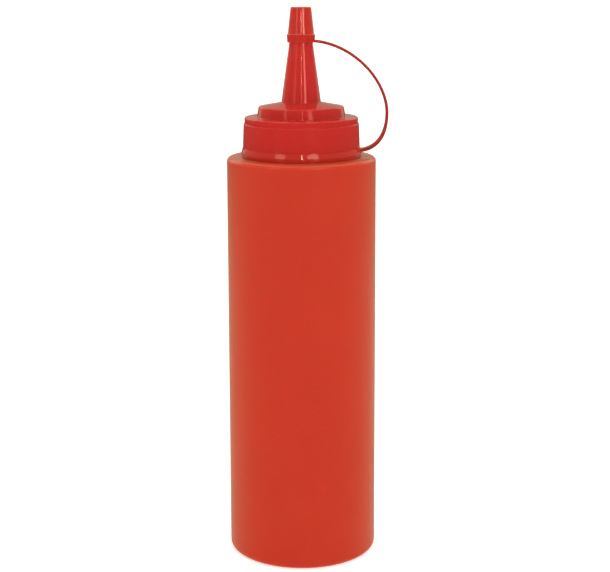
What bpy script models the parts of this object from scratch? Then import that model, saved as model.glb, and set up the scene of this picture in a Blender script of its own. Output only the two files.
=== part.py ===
"""Squeeze bottle with a screw lid, a long conical nozzle and a tip cap on a moulded strap.

Lengths are in metres and +Z is up. The origin is the centre of the flat base, on the bottle's
axis. The strap lies in the XZ plane, on the +X side.
"""

import math

import bmesh
import bpy
from mathutils import Matrix, Vector

MM = 0.001

# Fit between separate mouldings.
GAP = 0.3 * MM

# Bottle: a drafted cylinder with a nearly flat shoulder and a plain neck under the lid.
BASE_RADIUS = 35.65 * MM
BASE_ROUNDING = 2.4 * MM
SHOULDER_RADIUS = 35.0 * MM
SHOULDER_HEIGHT = 192.5 * MM
SHOULDER_RISE = 0.3 * MM
SHOULDER_ROUNDING = 2.0 * MM
NECK_RADIUS = 24.6 * MM
NECK_TOP = 205.6 * MM
NECK_ROUNDING = 0.5 * MM
NECK_FOOT_ROUNDING = 0.4 * MM

# Lid: a drafted skirt with a small ledge, two stepped tiers and the nozzle.
SKIRT_BOTTOM = 197.3 * MM
SKIRT_BOTTOM_RADIUS = 27.4 * MM
SKIRT_ROUNDING = 0.2 * MM
LEDGE_HEIGHT = 208.0 * MM
LEDGE_RADIUS = 26.95 * MM
LEDGE_ROUNDING = 0.2 * MM
LOWER_TIER_RADIUS = 26.5 * MM
LOWER_TIER_TOP = 211.0 * MM
LOWER_TIER_FOOT_ROUNDING = 0.15 * MM
LOWER_TIER_ROUNDING = 0.7 * MM
UPPER_TIER_FOOT = 211.2 * MM
UPPER_TIER_FOOT_RADIUS = 20.7 * MM
UPPER_TIER_FOOT_ROUNDING = 0.3 * MM
UPPER_TIER_TOP = 215.9 * MM
UPPER_TIER_RADIUS = 19.85 * MM
UPPER_TIER_ROUNDING = 0.8 * MM
NOZZLE_ROOT = 217.9 * MM
NOZZLE_ROOT_RADIUS = 9.2 * MM
NOZZLE_ROOT_ROUNDING = 0.3 * MM
NOZZLE_TOP = 258.6 * MM
NOZZLE_TOP_RADIUS = 3.6 * MM
NOZZLE_TIP_ROUNDING = 0.3 * MM

# Tip cap: a closed cone with a low collar, over the end of the nozzle.
CAP_TOP = 261.3 * MM
CAP_TOP_RADIUS = 4.75 * MM
CAP_ROUNDING = 0.6 * MM
CAP_FOOT = 249.1 * MM
CAP_FOOT_RADIUS = 6.12 * MM
COLLAR_TOP = 248.8 * MM
COLLAR_TOP_RADIUS = 6.55 * MM
COLLAR_TOP_ROUNDING = 0.25 * MM
COLLAR_BOTTOM = 245.2 * MM
COLLAR_BOTTOM_RADIUS = 6.3 * MM
COLLAR_BOTTOM_ROUNDING = 0.3 * MM

# Ring that holds the strap round the neck, between the shoulder and the lid's skirt.
RING_TOP = SKIRT_BOTTOM - GAP
RING_TOP_RADIUS = 27.5 * MM
RING_TOP_ROUNDING = 0.1 * MM
RING_BULGE_HEIGHT = 194.5 * MM
RING_BULGE_RADIUS = 28.2 * MM
RING_BULGE_ROUNDING = 1.0 * MM
RING_BOTTOM = SHOULDER_HEIGHT + SHOULDER_RISE + GAP
RING_BOTTOM_RADIUS = 28.0 * MM
RING_BOTTOM_ROUNDING = 0.2 * MM

# Strap: it bulges out to STRAP_REACH, above and below that point along a quarter of an oval,
# and it is thickest at the ring.
STRAP_REACH = 39.97 * MM
STRAP_WIDEST_HEIGHT = 213.0 * MM
STRAP_TOP = (4.9 * MM, 245.87 * MM)
STRAP_TOP_SQUARENESS = 1.8
STRAP_START = 6.0 * MM
STRAP_BOTTOM = (26.0 * MM, 195.4 * MM)
STRAP_BOTTOM_SQUARENESS = 2.3
STRAP_THICKNESS = 1.75 * MM
STRAP_WIDTH = 4.2 * MM
STRAP_BEVEL = 0.5 * MM
STRAP_THIN_SCALE = 0.76
STRAP_THINS_OVER = (198.0 * MM, 210.0 * MM)
STRAP_UPPER_POINTS = 28
STRAP_LOWER_POINTS = 14

# Facets.
TURN_STEPS = 64
NARROW_TURN_STEPS = 40
ARC_STEP = math.radians(31)
SHARP_ANGLE = math.radians(35)

# Finishes: colour, roughness.
BODY_FINISH = ((0.60, 0.047, 0.022), 0.42)
LID_FINISH = ((0.53, 0.031, 0.020), 0.28)
CAP_FINISH = ((0.53, 0.031, 0.020), 0.24)

WELD = 0.01 * MM


def clear_scene():
    for item in list(bpy.data.objects):
        bpy.data.objects.remove(item, do_unlink=True)


def new_collection(name):
    collection = bpy.data.collections.new(name)
    bpy.context.scene.collection.children.link(collection)
    return collection


def plastic(name, finish):
    """An opaque moulded plastic."""
    colour, roughness = finish
    material = bpy.data.materials.new(name)
    material.use_nodes = True
    shader = material.node_tree.nodes["Principled BSDF"]
    shader.inputs["Base Color"].default_value = (*colour, 1.0)
    shader.inputs["Roughness"].default_value = roughness
    shader.inputs["Metallic"].default_value = 0.0
    return material


def rounded(corners):
    """The outline through corners of (radius, height, rounding), with an arc at each rounding."""
    points = []
    for index, (radius, height, rounding) in enumerate(corners):
        corner = Vector((radius, height))
        if rounding == 0:
            points.append(corner)
            continue
        back = (Vector(corners[index - 1][:2]) - corner).normalized()
        ahead = (Vector(corners[(index + 1) % len(corners)][:2]) - corner).normalized()
        half_angle = back.angle(ahead) / 2
        centre = corner + (back + ahead).normalized() * (rounding / math.sin(half_angle))
        run = rounding / math.tan(half_angle)
        first = corner + back * run - centre
        last = corner + ahead * run - centre
        start = math.atan2(first.y, first.x)
        turn = math.remainder(math.atan2(last.y, last.x) - start, math.tau)
        steps = max(1, math.ceil(abs(turn) / ARC_STEP))
        for step in range(steps + 1):
            angle = start + turn * step / steps
            points.append(centre + rounding * Vector((math.cos(angle), math.sin(angle))))
    return points


def turned(name, outline, collection, steps=TURN_STEPS, closed=False):
    """A solid of revolution about Z. The outline runs down the outer side."""
    edges = [(index, index + 1) for index in range(len(outline) - 1)]
    if closed:
        edges.append((len(outline) - 1, 0))
    mesh = bpy.data.meshes.new(name)
    mesh.from_pydata([(radius, 0.0, height) for radius, height in outline], edges, [])
    solid = bpy.data.objects.new(name, mesh)
    collection.objects.link(solid)
    screw = solid.modifiers.new("Turn", "SCREW")
    screw.axis = "Z"
    screw.angle = math.tau
    screw.steps = steps
    screw.render_steps = steps
    screw.use_merge_vertices = True
    screw.merge_threshold = WELD
    return solid


def evaluated_mesh(item):
    """The object's mesh with its modifiers taken in."""
    depsgraph = bpy.context.evaluated_depsgraph_get()
    return bpy.data.meshes.new_from_object(item.evaluated_get(depsgraph))


def settle(item):
    """Apply the object's modifiers."""
    mesh = evaluated_mesh(item)
    item.modifiers.clear()
    item.data = mesh


def finish(item, material):
    settle(item)
    item.data.shade_smooth()
    item.data.set_sharp_from_angle(angle=SHARP_ANGLE)
    item.data.materials.clear()
    item.data.materials.append(material)


def make_bottle(collection):
    outline = rounded([
        (0.0, NECK_TOP, 0),
        (NECK_RADIUS, NECK_TOP, NECK_ROUNDING),
        (NECK_RADIUS, SHOULDER_HEIGHT + SHOULDER_RISE, NECK_FOOT_ROUNDING),
        (SHOULDER_RADIUS, SHOULDER_HEIGHT, SHOULDER_ROUNDING),
        (BASE_RADIUS, 0.0, BASE_ROUNDING),
        (0.0, 0.0, 0),
    ])
    return turned("bottle", outline, collection)


def nozzle_radius(height):
    """Radius of the nozzle's straight cone at a height."""
    share = (height - NOZZLE_ROOT) / (NOZZLE_TOP - NOZZLE_ROOT)
    return NOZZLE_ROOT_RADIUS + share * (NOZZLE_TOP_RADIUS - NOZZLE_ROOT_RADIUS)


def make_lid(collection):
    socket_radius = NECK_RADIUS + GAP
    socket_top = NECK_TOP + GAP
    outline = rounded([
        (0.0, NOZZLE_TOP, 0),
        (NOZZLE_TOP_RADIUS, NOZZLE_TOP, NOZZLE_TIP_ROUNDING),
        (NOZZLE_ROOT_RADIUS, NOZZLE_ROOT, NOZZLE_ROOT_ROUNDING),
        (UPPER_TIER_RADIUS, UPPER_TIER_TOP, UPPER_TIER_ROUNDING),
        (UPPER_TIER_FOOT_RADIUS, UPPER_TIER_FOOT, UPPER_TIER_FOOT_ROUNDING),
        (LOWER_TIER_RADIUS, LOWER_TIER_TOP, LOWER_TIER_ROUNDING),
        (LOWER_TIER_RADIUS, LEDGE_HEIGHT, LOWER_TIER_FOOT_ROUNDING),
        (LEDGE_RADIUS, LEDGE_HEIGHT, LEDGE_ROUNDING),
        (SKIRT_BOTTOM_RADIUS, SKIRT_BOTTOM, SKIRT_ROUNDING),
        (socket_radius, SKIRT_BOTTOM, 0),
        (socket_radius, socket_top, 0),
        (0.0, socket_top, 0),
    ])
    return turned("lid", outline, collection)


def make_cap_cone(collection):
    pocket_top = NOZZLE_TOP + GAP
    outline = rounded([
        (0.0, CAP_TOP, 0),
        (CAP_TOP_RADIUS, CAP_TOP, CAP_ROUNDING),
        (CAP_FOOT_RADIUS, CAP_FOOT, 0),
        (COLLAR_TOP_RADIUS, COLLAR_TOP, COLLAR_TOP_ROUNDING),
        (COLLAR_BOTTOM_RADIUS, COLLAR_BOTTOM, COLLAR_BOTTOM_ROUNDING),
        (nozzle_radius(COLLAR_BOTTOM) + GAP, COLLAR_BOTTOM, 0),
        (nozzle_radius(pocket_top) + GAP, pocket_top, 0),
        (0.0, pocket_top, 0),
    ])
    return turned("tethered_cap", outline, collection, steps=NARROW_TURN_STEPS)


def make_ring(collection):
    bore_radius = NECK_RADIUS + GAP
    outline = rounded([
        (bore_radius, RING_TOP, 0),
        (RING_TOP_RADIUS, RING_TOP, RING_TOP_ROUNDING),
        (RING_BULGE_RADIUS, RING_BULGE_HEIGHT, RING_BULGE_ROUNDING),
        (RING_BOTTOM_RADIUS, RING_BOTTOM, RING_BOTTOM_ROUNDING),
        (bore_radius, RING_BOTTOM, 0),
    ])
    return turned("ring", outline, collection, closed=True)


def oval_point(centre, reach, squareness, angle):
    """A point on an oval about centre, squarer than an ellipse where squareness is over 2."""
    across = math.cos(angle)
    up = math.sin(angle)
    power = 2 / squareness
    x = centre[0] + reach[0] * math.copysign(abs(across) ** power, across)
    z = centre[1] + reach[1] * math.copysign(abs(up) ** power, up)
    return x, z


def strap_route():
    """Points along the middle of the strap, as (x, z), from the tip cap to the ring."""
    right_angle = math.pi / 2
    top_x, top_z = STRAP_TOP
    upper_centre = (top_x, STRAP_WIDEST_HEIGHT)
    upper_reach = (STRAP_REACH - top_x, top_z - STRAP_WIDEST_HEIGHT)
    bottom_x, bottom_z = STRAP_BOTTOM
    lower_centre = (bottom_x, STRAP_WIDEST_HEIGHT)
    lower_reach = (STRAP_REACH - bottom_x, STRAP_WIDEST_HEIGHT - bottom_z)
    start = math.acos(((STRAP_START - top_x) / upper_reach[0]) ** (STRAP_TOP_SQUARENESS / 2))
    route = []
    for step in range(STRAP_UPPER_POINTS):
        angle = start * (1 - step / STRAP_UPPER_POINTS)
        route.append(oval_point(upper_centre, upper_reach, STRAP_TOP_SQUARENESS, angle))
    for step in range(STRAP_LOWER_POINTS + 1):
        angle = -right_angle * step / STRAP_LOWER_POINTS
        route.append(oval_point(lower_centre, lower_reach, STRAP_BOTTOM_SQUARENESS, angle))
    return route


def strap_scale(height):
    """The strap's section against its full size, which it has at the ring."""
    low, high = STRAP_THINS_OVER
    share = min(1.0, max(0.0, (height - low) / (high - low)))
    eased = share * share * (3 - 2 * share)
    return 1 + eased * (STRAP_THIN_SCALE - 1)


def poly_curve(name, points, cyclic, collection, radii=None):
    """A flat curve object through points."""
    curve = bpy.data.curves.new(name, "CURVE")
    curve.dimensions = "2D"
    curve.fill_mode = "NONE"
    spline = curve.splines.new("POLY")
    spline.points.add(len(points) - 1)
    for index, (x, y) in enumerate(points):
        spline.points[index].co = (x, y, 0.0, 1.0)
        if radii:
            spline.points[index].radius = radii[index]
    spline.use_cyclic_u = cyclic
    item = bpy.data.objects.new(name, curve)
    collection.objects.link(item)
    return item


def strap_section(collection):
    """The strap's bevelled rectangle, thickness along X and width along Y."""
    x = STRAP_THICKNESS / 2
    y = STRAP_WIDTH / 2
    inner_x = x - STRAP_BEVEL
    inner_y = y - STRAP_BEVEL
    corners = [
        (x, -inner_y), (x, inner_y), (inner_x, y), (-inner_x, y),
        (-x, inner_y), (-x, -inner_y), (-inner_x, -y), (inner_x, -y),
    ]
    return poly_curve("strap_section", corners, True, collection)


def make_strap(collection):
    route = strap_route()
    section = strap_section(collection)
    path = poly_curve("strap_path", route, False, collection, [strap_scale(z) for _, z in route])
    path.data.bevel_mode = "OBJECT"
    path.data.bevel_object = section
    path.data.use_fill_caps = True
    path.rotation_euler.x = math.pi / 2
    bpy.context.view_layer.update()
    mesh = evaluated_mesh(path)
    form = bmesh.new()
    form.from_mesh(mesh)
    bmesh.ops.remove_doubles(form, verts=form.verts, dist=WELD)
    bmesh.ops.recalc_face_normals(form, faces=form.faces)
    form.to_mesh(mesh)
    form.free()
    strap = bpy.data.objects.new("strap", mesh)
    strap.matrix_world = Matrix(path.matrix_world)
    collection.objects.link(strap)
    bpy.data.objects.remove(path, do_unlink=True)
    bpy.data.objects.remove(section, do_unlink=True)
    return strap


def unite(base, pieces):
    """Fuse pieces into base, and remove them."""
    for piece in pieces:
        join = base.modifiers.new("Join", "BOOLEAN")
        join.operation = "UNION"
        join.solver = "EXACT"
        join.object = piece
    bpy.context.view_layer.update()
    settle(base)
    for piece in pieces:
        bpy.data.objects.remove(piece, do_unlink=True)


def make_tethered_cap(collection, helpers):
    cap = make_cap_cone(collection)
    unite(cap, [make_strap(helpers), make_ring(helpers)])
    return cap


def main():
    clear_scene()
    parts = new_collection("squeeze_bottle")
    helpers = new_collection("helpers")
    finish(make_bottle(parts), plastic("body_plastic", BODY_FINISH))
    finish(make_lid(parts), plastic("lid_plastic", LID_FINISH))
    finish(make_tethered_cap(parts, helpers), plastic("cap_plastic", CAP_FINISH))
    bpy.data.collections.remove(helpers)


main()
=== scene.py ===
"""The looks of the squeeze bottle: its visible pieces, plastics, light and camera.

Lengths are in metres and +Z is up. The bottle stands at the origin, its strap lies in the XZ
plane on the +X side, and the camera looks along +Y. Azimuths are measured from -Y, the camera's
side, and grow towards +X.
"""

import math

import bmesh
import bpy
from mathutils import Matrix, Vector


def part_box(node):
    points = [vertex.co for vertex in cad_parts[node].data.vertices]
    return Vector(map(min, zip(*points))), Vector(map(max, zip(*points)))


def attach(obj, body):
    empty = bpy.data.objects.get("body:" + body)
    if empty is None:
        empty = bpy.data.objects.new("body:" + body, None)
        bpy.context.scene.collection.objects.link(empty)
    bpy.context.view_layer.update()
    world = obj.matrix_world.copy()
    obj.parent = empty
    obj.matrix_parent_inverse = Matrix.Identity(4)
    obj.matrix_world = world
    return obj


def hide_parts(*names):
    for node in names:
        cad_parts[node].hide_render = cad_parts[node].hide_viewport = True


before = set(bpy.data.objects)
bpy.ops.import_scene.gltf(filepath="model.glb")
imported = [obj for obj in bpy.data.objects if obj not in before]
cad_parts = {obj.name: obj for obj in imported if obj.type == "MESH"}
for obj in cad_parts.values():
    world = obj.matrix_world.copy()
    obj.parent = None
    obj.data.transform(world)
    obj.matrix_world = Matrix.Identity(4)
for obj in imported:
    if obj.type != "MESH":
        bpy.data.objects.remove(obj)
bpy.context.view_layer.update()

MM = 0.001

bottle_low, bottle_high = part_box("bottle")
lid_low, lid_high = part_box("lid")
cap_low, cap_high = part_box("tethered_cap")

# Fit between the mouldings: inside they are GAP apart, and outside they meet at a HAIRLINE.
GAP = 0.3 * MM
HAIRLINE = 0.01 * MM

# Bottle: a drafted cylinder with a nearly flat shoulder and a plain neck under the lid.
BASE_RADIUS = bottle_high.x
BASE_ROUNDING = 2.4 * MM
SHOULDER_RADIUS = 35.0 * MM
SHOULDER_HEIGHT = 192.5 * MM
SHOULDER_RISE = 0.3 * MM
SHOULDER_ROUNDING = 2.0 * MM
NECK_RADIUS = 24.6 * MM
NECK_TOP = bottle_high.z
NECK_ROUNDING = 0.5 * MM
NECK_FOOT_ROUNDING = 0.4 * MM

# The base stands on a rim round a shallow recess.
RECESS_DEPTH = 0.9 * MM
RECESS_EDGE_RADIUS = 30.0 * MM
RECESS_FLAT_RADIUS = 26.0 * MM
RECESS_ROUNDING = 1.5 * MM

# Parting line of the blow mould, on the two sides and across the base.
SEAM_HEIGHT = 0.07 * MM
SEAM_HALF_WIDTH = 0.5 * MM
SEAM_STEPS = 4

# Lid: a drafted skirt with a small ledge, two stepped tiers and the nozzle.
SKIRT_BOTTOM_RADIUS = lid_high.x
SKIRT_ROUNDING = 0.04 * MM
LEDGE_HEIGHT = 208.0 * MM
LEDGE_RADIUS = 26.95 * MM
LEDGE_ROUNDING = 0.2 * MM
LOWER_TIER_RADIUS = 26.5 * MM
LOWER_TIER_TOP = 211.0 * MM
LOWER_TIER_FOOT_ROUNDING = 0.3 * MM
LOWER_TIER_ROUNDING = 0.6 * MM
UPPER_TIER_FOOT = 211.2 * MM
UPPER_TIER_FOOT_RADIUS = 20.7 * MM
UPPER_TIER_FOOT_ROUNDING = 0.2 * MM
UPPER_TIER_TOP = 215.9 * MM
UPPER_TIER_RADIUS = 19.85 * MM
UPPER_TIER_ROUNDING = 0.7 * MM
NOZZLE_ROOT = 217.9 * MM
NOZZLE_ROOT_RADIUS = 9.2 * MM
NOZZLE_ROOT_ROUNDING = 0.2 * MM
NOZZLE_TOP = lid_high.z
NOZZLE_TOP_RADIUS = 3.6 * MM
NOZZLE_TIP_ROUNDING = 0.3 * MM

# Tip cap: a closed cone with a low collar, over the end of the nozzle.
CAP_TOP = cap_high.z
CAP_TOP_RADIUS = 4.75 * MM
CAP_ROUNDING = 0.6 * MM
CAP_FOOT = 249.1 * MM
CAP_FOOT_RADIUS = 6.12 * MM
CAP_FOOT_ROUNDING = 0.2 * MM
COLLAR_TOP = 248.8 * MM
COLLAR_TOP_RADIUS = 6.55 * MM
COLLAR_TOP_ROUNDING = 0.25 * MM
COLLAR_BOTTOM = 245.2 * MM
COLLAR_BOTTOM_RADIUS = 6.3 * MM
COLLAR_BOTTOM_ROUNDING = 0.3 * MM

# Ring that holds the strap round the neck. It fills the height from the shoulder to the skirt.
RING_TOP = lid_low.z - GAP
RING_TOP_RADIUS = 27.5 * MM
RING_TOP_ROUNDING = 0.03 * MM
RING_FLARE_HEIGHT = 196.4 * MM
RING_FLARE_RADIUS = 27.62 * MM
RING_FLARE_ROUNDING = 0.8 * MM
RING_BULGE_HEIGHT = 194.5 * MM
RING_BULGE_RADIUS = 28.15 * MM
RING_BULGE_ROUNDING = 1.0 * MM
RING_BOTTOM_RADIUS = 28.0 * MM
RING_BOTTOM_ROUNDING = 0.1 * MM

# Strap: it bulges out to STRAP_REACH, above and below that point along a quarter of an oval.
STRAP_REACH = 39.97 * MM
STRAP_WIDEST_HEIGHT = 213.0 * MM
STRAP_TOP = (4.9 * MM, 245.87 * MM)
STRAP_TOP_SQUARENESS = 1.8
STRAP_START = 6.0 * MM
STRAP_BOTTOM = (26.0 * MM, 195.4 * MM)
STRAP_BOTTOM_SQUARENESS = 2.3
STRAP_THICKNESS = 1.75 * MM
STRAP_WIDTH = 4.2 * MM
STRAP_BEVEL = 0.5 * MM
STRAP_THIN_SCALE = 0.76
STRAP_THINS_OVER = (198.0 * MM, 210.0 * MM)
STRAP_UPPER_POINTS = 90
STRAP_LOWER_POINTS = 50

# Facets of the visible pieces.
TURN_STEPS = 256
NARROW_TURN_STEPS = 128
FLOOR_STEPS = 96
ARC_STEP = math.radians(9)
LONGEST_STEP = 6.0 * MM
HOLDING_STEP = 0.08 * MM
SHARP_ANGLE = math.radians(40)

# Plastics. A gloss is the specular level and its tint. Light that enters is scattered back.
PLASTIC_IOR = 1.45
PLASTIC_SCATTER = 1.0
SCATTER_COLOUR = (1.0, 0.15, 0.08)
NOISE_MIDDLE = (0.3, 0.7)

# Body: its bloom is the pale waxy sheen at grazing angles.
BODY_COLOUR = (0.58, 0.050, 0.0265)
BODY_ROUGHNESS = 0.17
BODY_GLOSS = (0.6, (1.0, 0.55, 0.45))
BODY_SCATTER_DEPTH = 2.5 * MM
BODY_BLOOM = 0.12
BODY_BLOOM_COLOUR = (0.5, 0.65, 0.1)
BODY_CLOUD_SCALE = 28.0
BODY_CLOUD_SHADES = (0.975, 1.02)
BODY_STREAK_SCALE = 260.0
BODY_STREAK_STRETCH = (1.0, 1.0, 0.03)
BODY_STREAK_SHADE = 0.94
BODY_STREAK_SHARE = 0.25
BODY_STREAK_RELIEF = 0.02 * MM
BODY_SMEAR_SCALE = 75.0
BODY_SMEAR_SPREAD = (-0.04, 0.05)
BODY_GRAIN_SCALE = 2600.0
BODY_GRAIN_RELIEF = 0.006 * MM
BODY_WAVE_SCALE = 240.0
BODY_WAVE_RELIEF = 0.03 * MM

# Lid and cap. The lid is satin below its ledge: from, to, roughness.
LID_COLOUR = (0.55, 0.031, 0.027)
LID_ROUGHNESS = 0.05
LID_SATIN = (208.0 * MM, 208.4 * MM, 0.2)
LID_GLOSS = (0.6, (1.0, 0.42, 0.34))
CAP_COLOUR = (0.545, 0.032, 0.022)
CAP_ROUGHNESS = 0.05
CAP_GLOSS = (0.9, (1.0, 0.55, 0.46))
GLOSSY_SCATTER_DEPTH = 1.0 * MM
GLOSSY_CLOUD_SCALE = 45.0
GLOSSY_CLOUD_SHADES = (0.97, 1.03)
GLOSSY_MARK_SCALE = 130.0
GLOSSY_MARK_NOISE_ROUGHNESS = 0.6
GLOSSY_MARK_SPREAD = (-0.02, 0.03)
GLOSSY_PEEL_SCALE = 620.0
GLOSSY_PEEL_RELIEF = 0.003 * MM
GLOSSY_GRAIN_SCALE = 3200.0
GLOSSY_GRAIN_RELIEF = 0.0008 * MM

# The strap's painted shade starts at its roots: the distance from the axis at the top and at the
# ring.
# The strap is the cap's own plastic; its darker, duller colour is painted shade.
STRAP_PAINTED_SHADE = (0.38, 0.042, 0.029)
STRAP_SHADE_ROOTS = (7.5 * MM, 28.7 * MM)
STRAP_SHADE_FADE = 1.0 * MM

# Camera, fitted to a picture of IMAGE_WIDTH pixels.
IMAGE_WIDTH = 610
FOCAL_LENGTH_PIXELS = 1388.5
SENSOR_WIDTH = 36.0
CAMERA_PLACE = (0.0, -0.6495, 0.2749)
CAMERA_DOWN = 0.2194
CAMERA_YAW = math.radians(0.134)
CAMERA_ROLL = math.radians(-0.17)

# Floor: plain and pale.
WHITE = (1.0, 1.0, 1.0)
FLOOR_RADIUS = 40.0
FLOOR_COLOUR = (0.80, 0.87, 0.98)
FLOOR_ROUGHNESS = 0.9
FLOOR_GLOW = 0.46

# Surround: its levels, and where each starts and ends along the way that a ray goes. Behind the
# bottle a dark band lies round the horizon, with a thin bright skyline at its upper edge.
SURROUND_COLOUR = (1.0, 0.89, 0.71)
SURROUND_FRONT_LOW = 0.1
SURROUND_FRONT_HIGH = 0.35
SURROUND_FRONT_RISE = (-0.1, 0.25)
SURROUND_BACK = 0.46
SURROUND_BACK_RISE = (-0.5, 0.3)
SURROUND_HORIZON = 0.12
SURROUND_HORIZON_HEIGHT = -0.06
SURROUND_HORIZON_SPREAD = (0.05, 0.15)
SURROUND_SKYLINE = 0.9
SURROUND_SKYLINE_HEIGHT = 0.02
SURROUND_SKYLINE_SPREAD = (0.01, 0.045)
SURROUND_OVERHEAD = 1.6
SURROUND_OVERHEAD_RISE = (0.55, 0.87)

# Softboxes: shape, azimuth, elevation, half width and half height in degrees, and radiance. The
# first three make the narrow streaks, the rim lights stand behind the bottle.
LIGHT_DISTANCE = 6.0
LIGHT_AIM = Vector((0.0, 0.0, 0.22))
LIGHTS = {
    "strip_light": ("RECTANGLE", 2.4, 12.35, 0.4, 2.2, 50.0),
    "spot_light": ("RECTANGLE", 0.9, 25.0, 0.8, 4.0, 15.0),
    "low_light": ("RECTANGLE", 25.3, 11.1, 6.2, 2.7, 7.1),
    "right_light": ("ELLIPSE", 23.3, 24.5, 10.5, 11.5, 2.9),
    "left_light": ("ELLIPSE", -43.0, 24.5, 10.0, 11.5, 2.0),
    "low_left_light": ("RECTANGLE", -41.5, 10.8, 6.0, 2.4, 1.5),
    "left_rim_light": ("ELLIPSE", -141.0, 24.0, 21.0, 12.5, 0.8),
    "right_rim_light": ("ELLIPSE", 141.0, 24.5, 21.0, 12.5, 0.8),
}


# Shapes


def rounded(corners):
    """The outline through corners of (radius, height, rounding), with an arc at each rounding."""
    points = []
    for index, (radius, height, rounding) in enumerate(corners):
        corner = Vector((radius, height))
        if rounding == 0:
            points.append(corner)
            continue
        back = (Vector(corners[index - 1][:2]) - corner).normalized()
        ahead = (Vector(corners[(index + 1) % len(corners)][:2]) - corner).normalized()
        half_angle = back.angle(ahead) / 2
        centre = corner + (back + ahead).normalized() * (rounding / math.sin(half_angle))
        run = rounding / math.tan(half_angle)
        first = corner + back * run - centre
        last = corner + ahead * run - centre
        start = math.atan2(first.y, first.x)
        turn = math.remainder(math.atan2(last.y, last.x) - start, math.tau)
        steps = max(2, math.ceil(abs(turn) / ARC_STEP))
        for step in range(steps + 1):
            angle = start + turn * step / steps
            points.append(centre + rounding * Vector((math.cos(angle), math.sin(angle))))
    return points


def divided(outline):
    """The outline with its long straight stretches cut up, and held flat by a cut near each end."""
    points = [outline[0]]
    for point in outline[1:]:
        last = points[-1]
        length = (point - last).length
        if length > 4 * HOLDING_STEP:
            steps = math.ceil(length / LONGEST_STEP)
            cuts = [HOLDING_STEP / length]
            cuts += [step / steps for step in range(1, steps)]
            cuts.append(1 - HOLDING_STEP / length)
            points += [last.lerp(point, cut) for cut in cuts]
        points.append(point)
    return points


def new_piece(name, mesh):
    piece = bpy.data.objects.new(name, mesh)
    bpy.context.scene.collection.objects.link(piece)
    return piece


def piece_from(name, form):
    """A new object from a bmesh, which is freed."""
    bmesh.ops.recalc_face_normals(form, faces=form.faces)
    mesh = bpy.data.meshes.new(name)
    form.to_mesh(mesh)
    form.free()
    return new_piece(name, mesh)


def ring_of(form, radius, height, columns):
    """One level's vertices: one on the axis, or one for each column."""
    if radius == 0:
        return [form.verts.new((0.0, 0.0, height))]
    return [form.verts.new(place(radius, height)) for place in columns]


def bridge(form, upper, lower):
    """Faces between two levels."""
    count = max(len(upper), len(lower))
    for index in range(count):
        following = (index + 1) % count
        corners = []
        for level, order in ((upper, (index, following)), (lower, (following, index))):
            if len(level) == 1:
                corners.append(level[0])
            else:
                corners += [level[step] for step in order]
        form.faces.new(corners)


def column(angle):
    """A column gives the point at a radius and a height, in the half-plane at an angle."""
    across = math.cos(angle)
    along = math.sin(angle)
    return lambda radius, height: (radius * across, radius * along, height)


def even_columns(count):
    return [column(math.tau * index / count) for index in range(count)]


def turned(name, outline, columns, closed=False):
    """A solid of revolution about Z, from an outline of (radius, height)."""
    form = bmesh.new()
    levels = [ring_of(form, radius, height, columns) for radius, height in outline]
    for upper, lower in zip(levels, levels[1:]):
        bridge(form, upper, lower)
    if closed:
        bridge(form, levels[-1], levels[0])
    return piece_from(name, form)


def smooth(piece):
    piece.data.shade_smooth()
    piece.data.set_sharp_from_angle(angle=SHARP_ANGLE)


def seam_swell(distance):
    """Height of the parting line at a distance from its middle."""
    share = min(1.0, abs(distance) / SEAM_HALF_WIDTH)
    return SEAM_HEIGHT * (0.5 + 0.5 * math.cos(math.pi * share))


def seam_columns():
    """Columns for the body: even ones, and close ones of constant width along the parting line."""
    plain_radius = BASE_RADIUS - SEAM_HEIGHT
    seam_steps = range(-SEAM_STEPS, SEAM_STEPS + 1)
    seam_offsets = [SEAM_HALF_WIDTH * step / SEAM_STEPS for step in seam_steps]

    def seam(side, offset):
        def place(radius, height):
            offset_here = max(-radius, min(radius, offset))
            swollen = radius + seam_swell(offset)
            across = math.sqrt(max(0.0, swollen ** 2 - offset_here ** 2))
            return side * across, side * offset_here, height
        return place

    edge = math.asin(SEAM_HALF_WIDTH / plain_radius)
    between = TURN_STEPS // 2 - 2
    columns = []
    for side in (1, -1):
        columns += [seam(side, offset) for offset in seam_offsets]
        middle = math.pi / 2 * (2 - side)
        for index in range(1, between + 1):
            angle = middle - math.pi / 2 + edge + (math.pi - 2 * edge) * index / (between + 1)
            columns.append(column(angle))
    return columns


def make_bottle_body():
    """The bottle, with its recessed base and the parting line of its mould."""
    outline = divided(rounded([
        (0.0, NECK_TOP, 0),
        (NECK_RADIUS, NECK_TOP, NECK_ROUNDING),
        (NECK_RADIUS, SHOULDER_HEIGHT + SHOULDER_RISE, NECK_FOOT_ROUNDING),
        (SHOULDER_RADIUS - SEAM_HEIGHT, SHOULDER_HEIGHT, SHOULDER_ROUNDING),
        (BASE_RADIUS - SEAM_HEIGHT, 0.0, BASE_ROUNDING),
        (RECESS_EDGE_RADIUS, 0.0, RECESS_ROUNDING),
        (RECESS_FLAT_RADIUS, RECESS_DEPTH, RECESS_ROUNDING),
        (0.0, RECESS_DEPTH, 0),
    ]))
    return turned("bottle_body", outline, seam_columns())


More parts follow.
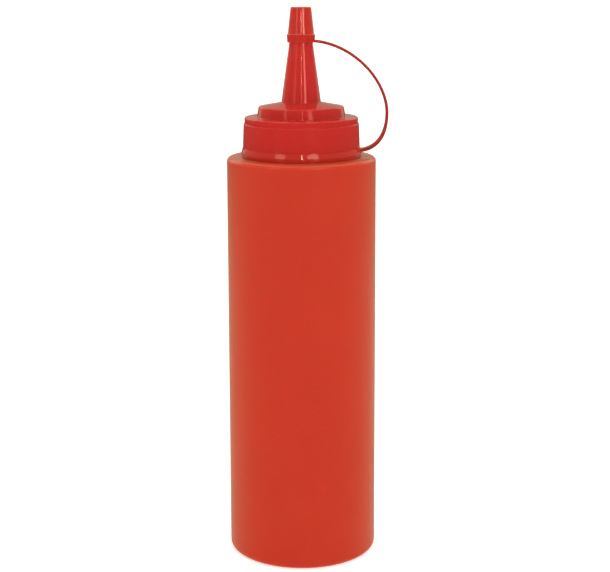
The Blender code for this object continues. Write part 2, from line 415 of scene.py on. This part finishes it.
def make_screw_lid():
    """The lid with its nozzle."""
    socket_radius = NECK_RADIUS + GAP
    socket_top = NECK_TOP + GAP
    skirt_foot = RING_TOP + HAIRLINE
    outline = divided(rounded([
        (0.0, NOZZLE_TOP, 0),
        (NOZZLE_TOP_RADIUS, NOZZLE_TOP, NOZZLE_TIP_ROUNDING),
        (NOZZLE_ROOT_RADIUS, NOZZLE_ROOT, NOZZLE_ROOT_ROUNDING),
        (UPPER_TIER_RADIUS, UPPER_TIER_TOP, UPPER_TIER_ROUNDING),
        (UPPER_TIER_FOOT_RADIUS, UPPER_TIER_FOOT, UPPER_TIER_FOOT_ROUNDING),
        (LOWER_TIER_RADIUS, LOWER_TIER_TOP, LOWER_TIER_ROUNDING),
        (LOWER_TIER_RADIUS, LEDGE_HEIGHT, LOWER_TIER_FOOT_ROUNDING),
        (LEDGE_RADIUS, LEDGE_HEIGHT, LEDGE_ROUNDING),
        (SKIRT_BOTTOM_RADIUS, skirt_foot, SKIRT_ROUNDING),
        (socket_radius, skirt_foot, 0),
        (socket_radius, socket_top, 0),
        (0.0, socket_top, 0),
    ]))
    return turned("screw_lid", outline, even_columns(TURN_STEPS))


def nozzle_radius(height):
    """Radius of the nozzle's straight cone at a height."""
    share = (height - NOZZLE_ROOT) / (NOZZLE_TOP - NOZZLE_ROOT)
    return NOZZLE_ROOT_RADIUS + share * (NOZZLE_TOP_RADIUS - NOZZLE_ROOT_RADIUS)


def make_cap_cone():
    pocket_top = NOZZLE_TOP + GAP
    outline = divided(rounded([
        (0.0, CAP_TOP, 0),
        (CAP_TOP_RADIUS, CAP_TOP, CAP_ROUNDING),
        (CAP_FOOT_RADIUS, CAP_FOOT, CAP_FOOT_ROUNDING),
        (COLLAR_TOP_RADIUS, COLLAR_TOP, COLLAR_TOP_ROUNDING),
        (COLLAR_BOTTOM_RADIUS, COLLAR_BOTTOM, COLLAR_BOTTOM_ROUNDING),
        (nozzle_radius(COLLAR_BOTTOM) + HAIRLINE, COLLAR_BOTTOM, 0),
        (nozzle_radius(pocket_top) + GAP, pocket_top, 0),
        (0.0, pocket_top, 0),
    ]))
    return turned("tip_cap_with_strap", outline, even_columns(NARROW_TURN_STEPS))


def make_ring():
    bore_radius = NECK_RADIUS + GAP
    ring_foot = SHOULDER_HEIGHT + SHOULDER_RISE + HAIRLINE
    outline = divided(rounded([
        (bore_radius, RING_TOP, 0),
        (RING_TOP_RADIUS, RING_TOP, RING_TOP_ROUNDING),
        (RING_FLARE_RADIUS, RING_FLARE_HEIGHT, RING_FLARE_ROUNDING),
        (RING_BULGE_RADIUS, RING_BULGE_HEIGHT, RING_BULGE_ROUNDING),
        (RING_BOTTOM_RADIUS, ring_foot, RING_BOTTOM_ROUNDING),
        (bore_radius, ring_foot, 0),
    ]))
    return turned("ring", outline, even_columns(TURN_STEPS), closed=True)


def oval_point(centre, reach, squareness, angle):
    """A point on an oval about centre, squarer than an ellipse where squareness is over 2."""
    across = math.cos(angle)
    up = math.sin(angle)
    power = 2 / squareness
    x = centre[0] + reach[0] * math.copysign(abs(across) ** power, across)
    z = centre[1] + reach[1] * math.copysign(abs(up) ** power, up)
    return Vector((x, 0.0, z))


def strap_route():
    """Points along the middle of the strap, from the tip cap to the ring."""
    right_angle = math.pi / 2
    top_x, top_z = STRAP_TOP
    upper_centre = (top_x, STRAP_WIDEST_HEIGHT)
    upper_reach = (STRAP_REACH - top_x, top_z - STRAP_WIDEST_HEIGHT)
    bottom_x, bottom_z = STRAP_BOTTOM
    lower_centre = (bottom_x, STRAP_WIDEST_HEIGHT)
    lower_reach = (STRAP_REACH - bottom_x, STRAP_WIDEST_HEIGHT - bottom_z)
    start = math.acos(((STRAP_START - top_x) / upper_reach[0]) ** (STRAP_TOP_SQUARENESS / 2))
    route = []
    for step in range(STRAP_UPPER_POINTS):
        angle = start * (1 - step / STRAP_UPPER_POINTS)
        route.append(oval_point(upper_centre, upper_reach, STRAP_TOP_SQUARENESS, angle))
    for step in range(STRAP_LOWER_POINTS + 1):
        angle = -right_angle * step / STRAP_LOWER_POINTS
        route.append(oval_point(lower_centre, lower_reach, STRAP_BOTTOM_SQUARENESS, angle))
    return route


def strap_scale(height):
    """The strap's section against its full size, which it has at the ring."""
    low, high = STRAP_THINS_OVER
    share = min(1.0, max(0.0, (height - low) / (high - low)))
    eased = share * share * (3 - 2 * share)
    return 1 + eased * (STRAP_THIN_SCALE - 1)


def strap_section():
    """Corners of the strap's section as (thickness, width), with rounded edges."""
    half_thickness = STRAP_THICKNESS / 2
    half_width = STRAP_WIDTH / 2
    return rounded([
        (half_thickness, -half_width, STRAP_BEVEL),
        (half_thickness, half_width, STRAP_BEVEL),
        (-half_thickness, half_width, STRAP_BEVEL),
        (-half_thickness, -half_width, STRAP_BEVEL),
    ])


def make_strap():
    route = strap_route()
    section = strap_section()
    form = bmesh.new()
    levels = []
    for index, place in enumerate(route):
        before = route[max(0, index - 1)]
        after = route[min(len(route) - 1, index + 1)]
        along = (after - before).normalized()
        outward = Vector((-along.z, 0.0, along.x))
        scale = strap_scale(place.z)
        level = []
        for thickness, width in section:
            across = Vector((0.0, width * scale, 0.0))
            level.append(form.verts.new(place + outward * thickness * scale + across))
        levels.append(level)
    for upper, lower in zip(levels, levels[1:]):
        bridge(form, upper, lower)
    form.faces.new(levels[0])
    form.faces.new(reversed(levels[-1]))
    return piece_from("strap", form)


def unite(base, parts):
    """Fuse parts into base, and remove them."""
    for part in parts:
        join = base.modifiers.new("Join", "BOOLEAN")
        join.operation = "UNION"
        join.solver = "EXACT"
        join.object = part
    depsgraph = bpy.context.evaluated_depsgraph_get()
    mesh = bpy.data.meshes.new_from_object(base.evaluated_get(depsgraph))
    base.modifiers.clear()
    base.data = mesh
    for part in parts:
        bpy.data.objects.remove(part, do_unlink=True)


def make_tethered_cap():
    """The tip cap, its strap and the ring, which are one moulding."""
    cap = make_cap_cone()
    unite(cap, [make_strap(), make_ring()])
    return cap


# Plastics


def link(tree, source, target):
    tree.links.new(source, target)


def noise(tree, vector, scale, detail=2.0, roughness=0.5):
    node = tree.nodes.new("ShaderNodeTexNoise")
    node.inputs["Scale"].default_value = scale
    node.inputs["Detail"].default_value = detail
    node.inputs["Roughness"].default_value = roughness
    link(tree, vector, node.inputs["Vector"])
    return node.outputs["Fac"]


def ranged(tree, value, low, high, limits=NOISE_MIDDLE):
    """A value within limits, spread over low to high."""
    node = tree.nodes.new("ShaderNodeMapRange")
    node.inputs["From Min"].default_value = limits[0]
    node.inputs["From Max"].default_value = limits[1]
    node.inputs["To Min"].default_value = low
    node.inputs["To Max"].default_value = high
    link(tree, value, node.inputs["Value"])
    return node.outputs["Result"]


def separated(tree, vector):
    """A vector's parts, by the names X, Y and Z."""
    node = tree.nodes.new("ShaderNodeSeparateXYZ")
    link(tree, vector, node.inputs["Vector"])
    return node.outputs


def distance_from(tree, value, middle):
    """How far a value is from a middle one."""
    offset = tree.nodes.new("ShaderNodeMath")
    offset.operation = "SUBTRACT"
    link(tree, value, offset.inputs[0])
    offset.inputs[1].default_value = middle
    size = tree.nodes.new("ShaderNodeMath")
    size.operation = "ABSOLUTE"
    link(tree, offset.outputs["Value"], size.inputs[0])
    return size.outputs["Value"]


def mixed(tree, share, first, second):
    """A colour between two."""
    node = tree.nodes.new("ShaderNodeMix")
    node.data_type = "RGBA"
    link(tree, share, node.inputs["Factor"])
    colour_sockets = [socket for socket in node.inputs if socket.type == "RGBA"]
    for socket, colour in zip(colour_sockets, (first, second)):
        if isinstance(colour, tuple):
            socket.default_value = (*colour, 1.0)
        else:
            link(tree, colour, socket)
    return next(socket for socket in node.outputs if socket.type == "RGBA")


def level_between(tree, share, first, second):
    """A number between a socket's and either another socket's or a plain one."""
    node = tree.nodes.new("ShaderNodeMix")
    node.data_type = "FLOAT"
    link(tree, share, node.inputs[0])
    link(tree, first, node.inputs[2])
    if isinstance(second, float):
        node.inputs[3].default_value = second
    else:
        link(tree, second, node.inputs[3])
    return node.outputs[0]


def bump(tree, height, distance, normal=None):
    node = tree.nodes.new("ShaderNodeBump")
    node.inputs["Distance"].default_value = distance
    link(tree, height, node.inputs["Height"])
    if normal:
        link(tree, normal, node.inputs["Normal"])
    return node.outputs["Normal"]


def stretched(tree, vector, scale):
    node = tree.nodes.new("ShaderNodeMapping")
    node.inputs["Scale"].default_value = scale
    link(tree, vector, node.inputs["Vector"])
    return node.outputs["Vector"]


def shade(colour, factor):
    return tuple(channel * factor for channel in colour)


def cloudy(tree, place, scale, base_colour, shades):
    """The colour between two shades of a base, in soft clouds."""
    share = ranged(tree, noise(tree, place, scale, detail=3.0), 0.0, 1.0)
    dark, light = shades
    return mixed(tree, share, shade(base_colour, dark), shade(base_colour, light))


def spread_about(tree, value, middle, spread):
    """A value spread about a middle one, from the first offset to the second."""
    return ranged(tree, value, middle + spread[0], middle + spread[1])


def new_plastic(name, gloss, scatter_depth):
    """A material, its tree, its shader and the object's own coordinates."""
    gloss_level, gloss_colour = gloss
    material = bpy.data.materials.new(name)
    material.use_nodes = True
    tree = material.node_tree
    shader = tree.nodes["Principled BSDF"]
    shader.inputs["IOR"].default_value = PLASTIC_IOR
    shader.inputs["Specular IOR Level"].default_value = gloss_level
    shader.inputs["Specular Tint"].default_value = (*gloss_colour, 1.0)
    shader.inputs["Subsurface Weight"].default_value = PLASTIC_SCATTER
    shader.inputs["Subsurface Radius"].default_value = SCATTER_COLOUR
    shader.inputs["Subsurface Scale"].default_value = scatter_depth
    place = tree.nodes.new("ShaderNodeTexCoord").outputs["Object"]
    return material, tree, shader, place


def body_plastic():
    """Satin polyethylene: cloudy colour, faint lines down the wall and a fine grain."""
    material, tree, shader, place = new_plastic("body_plastic", BODY_GLOSS, BODY_SCATTER_DEPTH)
    shader.inputs["Sheen Weight"].default_value = BODY_BLOOM
    shader.inputs["Sheen Tint"].default_value = (*BODY_BLOOM_COLOUR, 1.0)
    streaks = noise(tree, stretched(tree, place, BODY_STREAK_STRETCH), BODY_STREAK_SCALE)
    clouds = cloudy(tree, place, BODY_CLOUD_SCALE, BODY_COLOUR, BODY_CLOUD_SHADES)
    streak_share = ranged(tree, streaks, 0.0, BODY_STREAK_SHARE)
    colour = mixed(tree, streak_share, clouds, shade(BODY_COLOUR, BODY_STREAK_SHADE))
    link(tree, colour, shader.inputs["Base Color"])
    smears = noise(tree, place, BODY_SMEAR_SCALE, detail=4.0)
    roughness = spread_about(tree, smears, BODY_ROUGHNESS, BODY_SMEAR_SPREAD)
    link(tree, roughness, shader.inputs["Roughness"])
    grain = noise(tree, place, BODY_GRAIN_SCALE, detail=3.0)
    waves = noise(tree, place, BODY_WAVE_SCALE)
    relief = bump(tree, grain, BODY_GRAIN_RELIEF)
    relief = bump(tree, streaks, BODY_STREAK_RELIEF, normal=relief)
    relief = bump(tree, waves, BODY_WAVE_RELIEF, normal=relief)
    link(tree, relief, shader.inputs["Normal"])
    return material


def glossy_plastic(name, base_colour, gloss, base_roughness, satin=None):
    """Hard glossy plastic: even colour, a faint orange peel and slight handling marks."""
    material, tree, shader, place = new_plastic(name, gloss, GLOSSY_SCATTER_DEPTH)
    colour = cloudy(tree, place, GLOSSY_CLOUD_SCALE, base_colour, GLOSSY_CLOUD_SHADES)
    link(tree, colour, shader.inputs["Base Color"])
    marks = noise(
        tree, place, GLOSSY_MARK_SCALE, detail=5.0, roughness=GLOSSY_MARK_NOISE_ROUGHNESS
    )
    roughness = spread_about(tree, marks, base_roughness, GLOSSY_MARK_SPREAD)
    if satin:
        low, high, satin_roughness = satin
        parts = separated(tree, place)
        share = ranged(tree, parts["Z"], 1.0, 0.0, limits=(low, high))
        roughness = level_between(tree, share, roughness, satin_roughness)
    link(tree, roughness, shader.inputs["Roughness"])
    peel = noise(tree, place, GLOSSY_PEEL_SCALE)
    grain = noise(tree, place, GLOSSY_GRAIN_SCALE)
    relief = bump(tree, grain, GLOSSY_GRAIN_RELIEF)
    relief = bump(tree, peel, GLOSSY_PEEL_RELIEF, normal=relief)
    link(tree, relief, shader.inputs["Normal"])
    return material


def cap_plastic():
    """The cap's plastic, with painted shade that makes it duller and darker along the thin strap.
    """
    material = glossy_plastic("cap_plastic", CAP_COLOUR, CAP_GLOSS, CAP_ROUGHNESS)
    tree = material.node_tree
    base_colour = tree.nodes["Principled BSDF"].inputs["Base Color"]
    thick_colour = base_colour.links[0].from_socket
    parts = separated(tree, tree.nodes["Texture Coordinate"].outputs["Object"])
    upper_root, lower_root = STRAP_SHADE_ROOTS
    fade = (RING_TOP, RING_TOP + STRAP_SHADE_FADE)
    root = ranged(tree, parts["Z"], lower_root, upper_root, limits=fade)
    beyond = tree.nodes.new("ShaderNodeMath")
    beyond.operation = "SUBTRACT"
    link(tree, parts["X"], beyond.inputs[0])
    link(tree, root, beyond.inputs[1])
    share = ranged(tree, beyond.outputs["Value"], 0.0, 1.0, limits=(0.0, STRAP_SHADE_FADE))
    # Painted shade: beyond its roots the strap takes the darker colour in place of the cap's own.
    link(tree, mixed(tree, share, thick_colour, STRAP_PAINTED_SHADE), base_colour)
    return material


def dress(piece, node, material):
    smooth(piece)
    piece.data.materials.clear()
    piece.data.materials.append(material)
    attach(piece, "root")
    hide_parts(node)


# Studio


def make_camera():
    camera = bpy.data.cameras.new("camera")
    camera.sensor_fit = "HORIZONTAL"
    camera.sensor_width = SENSOR_WIDTH
    camera.lens = SENSOR_WIDTH * FOCAL_LENGTH_PIXELS / IMAGE_WIDTH
    holder = bpy.data.objects.new("camera", camera)
    bpy.context.scene.collection.objects.link(holder)
    turn = (
        Matrix.Rotation(-CAMERA_YAW, 4, "Z")
        @ Matrix.Rotation(math.pi / 2 - CAMERA_DOWN, 4, "X")
        @ Matrix.Rotation(CAMERA_ROLL, 4, "Z")
    )
    holder.matrix_world = Matrix.Translation(CAMERA_PLACE) @ turn
    bpy.context.scene.camera = holder


def make_floor():
    form = bmesh.new()
    bmesh.ops.create_circle(form, cap_ends=True, segments=FLOOR_STEPS, radius=FLOOR_RADIUS)
    floor = piece_from("floor", form)
    material = bpy.data.materials.new("floor")
    material.use_nodes = True
    shader = material.node_tree.nodes["Principled BSDF"]
    shader.inputs["Base Color"].default_value = (*FLOOR_COLOUR, 1.0)
    shader.inputs["Roughness"].default_value = FLOOR_ROUGHNESS
    shader.inputs["Emission Color"].default_value = (*WHITE, 1.0)
    shader.inputs["Emission Strength"].default_value = FLOOR_GLOW
    floor.data.materials.append(material)
    floor.visible_glossy = False


def direction(azimuth, elevation):
    """The way towards an azimuth and elevation in degrees."""
    turn = math.radians(azimuth)
    rise = math.radians(elevation)
    return Vector((
        math.sin(turn) * math.cos(rise),
        -math.cos(turn) * math.cos(rise),
        math.sin(rise),
    ))


def make_light(name, shape, azimuth, elevation, half_width, half_height, radiance):
    """A softbox of a size in degrees, as seen from LIGHT_AIM, which it faces."""
    way = direction(azimuth, elevation)
    light = bpy.data.lights.new(name, "AREA")
    light.shape = shape
    light.size = 2 * LIGHT_DISTANCE * math.tan(math.radians(half_width))
    light.size_y = 2 * LIGHT_DISTANCE * math.tan(math.radians(half_height))
    area = light.size * light.size_y * (math.pi / 4 if shape == "ELLIPSE" else 1)
    light.energy = radiance * math.pi * area
    holder = bpy.data.objects.new(name, light)
    holder.location = LIGHT_AIM + way * LIGHT_DISTANCE
    holder.rotation_euler = (-way).to_track_quat("-Z", "Y").to_euler()
    holder.visible_camera = False
    bpy.context.scene.collection.objects.link(holder)


def make_surround():
    """A plain surround, darker on the camera's side. The camera itself sees it plain white."""
    world = bpy.data.worlds.new("surround")
    bpy.context.scene.world = world
    world.use_nodes = True
    tree = world.node_tree
    way = separated(tree, tree.nodes.new("ShaderNodeTexCoord").outputs["Generated"])
    height = way["Z"]
    front = ranged(tree, height, SURROUND_FRONT_LOW, SURROUND_FRONT_HIGH, SURROUND_FRONT_RISE)
    behind = ranged(tree, way["Y"], 0.0, 1.0, SURROUND_BACK_RISE)
    off_horizon = distance_from(tree, height, SURROUND_HORIZON_HEIGHT)
    back = ranged(tree, off_horizon, SURROUND_HORIZON, SURROUND_BACK, SURROUND_HORIZON_SPREAD)
    off_skyline = distance_from(tree, height, SURROUND_SKYLINE_HEIGHT)
    skyline = ranged(tree, off_skyline, 1.0, 0.0, SURROUND_SKYLINE_SPREAD)
    back = level_between(tree, skyline, back, SURROUND_SKYLINE)
    overhead = ranged(tree, height, 0.0, 1.0, SURROUND_OVERHEAD_RISE)
    seen = tree.nodes.new("ShaderNodeLightPath").outputs["Is Camera Ray"]
    level = level_between(tree, behind, front, back)
    level = level_between(tree, overhead, level, SURROUND_OVERHEAD)
    level = level_between(tree, seen, level, 1.0)
    background = tree.nodes["Background"]
    link(tree, mixed(tree, seen, SURROUND_COLOUR, WHITE), background.inputs["Color"])
    link(tree, level, background.inputs["Strength"])


def main():
    bpy.context.scene.view_settings.view_transform = "Standard"
    make_camera()
    make_surround()
    make_floor()
    for name, settings in LIGHTS.items():
        make_light(name, *settings)
    dress(make_bottle_body(), "bottle", body_plastic())
    lid_plastic = glossy_plastic("lid_plastic", LID_COLOUR, LID_GLOSS, LID_ROUGHNESS, LID_SATIN)
    dress(make_screw_lid(), "lid", lid_plastic)
    dress(make_tethered_cap(), "tethered_cap", cap_plastic())


main()
